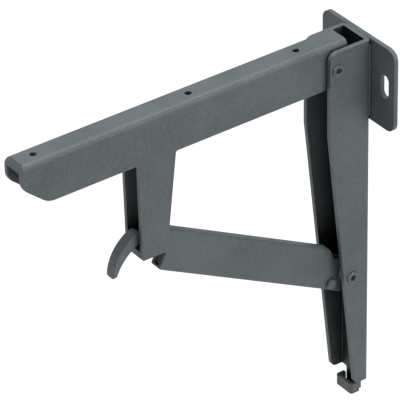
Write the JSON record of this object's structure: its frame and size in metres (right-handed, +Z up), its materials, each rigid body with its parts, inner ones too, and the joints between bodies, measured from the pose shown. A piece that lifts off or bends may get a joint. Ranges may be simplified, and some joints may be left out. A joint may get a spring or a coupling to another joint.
{
  "type": "folding wall bracket",
  "caption": "Folding wall bracket: slotted wall plate and tapered channel, swinging channel arm with a leg, tubular strut that props it, and a curved release lever.",
  "frame": {"origin": "centre of the wall plate's back face", "axes": "+X away from the wall along the arm, +Y along the wall, +Z up"},
  "size_m": [0.3018, 0.084, 0.3173],
  "materials": {
    "paint": "satin grey powder coat, slightly blue-green",
    "lever_paint": "satin grey powder coat, slightly blue-green",
    "rivet_steel": "painted over, with the rims rubbed bright",
    "bare_steel": "plain turned steel",
    "bush_brass": "plain turned brass"
  },
  "bodies": {
    "wall": {"wall_plate": "paint", "wall_channel": "paint", "channel_weld_near": "paint", "channel_weld_far": "paint", "bottom_hook": "paint", "arm_pivot_pin": "rivet_steel", "strut_pivot_pin": "rivet_steel", "strut_spacer_near": "bare_steel", "strut_spacer_far": "bare_steel"},
    "arm": {"arm_channel": "paint", "leg_bridge": "paint", "arm_pivot_bush": "bush_brass", "support_pin": "bare_steel", "lever_pin": "bare_steel", "lever_spacer": "bare_steel", "lever_spring": "bare_steel"},
    "strut": {"strut_tube": "paint", "strut_plug": "paint", "strut_bush": "bush_brass", "guide_rivet": "paint"},
    "lever": {"release_lever": "lever_paint"}
  },
  "joints": [
    {"name": "arm_hinge", "type": "hinge", "parent": "wall", "child": "arm", "pos_m": [0.0342, 0, 0.019], "axis": [0, -1, 0], "range_deg": [0, 90]},
    {"name": "strut_hinge", "type": "hinge", "parent": "wall", "child": "strut", "pos_m": [0.0199, 0, -0.16575], "axis": [0, -1, 0], "range_deg": [0, 48]},
    {"name": "lever_hinge", "type": "hinge", "parent": "arm", "child": "lever", "pos_m": [0.1968, 0, -0.0662], "axis": [0, -1, 0], "range_deg": [0, 20], "stiffness_Nm_per_rad": 0.05, "springref_deg": -20.05}
  ]
}
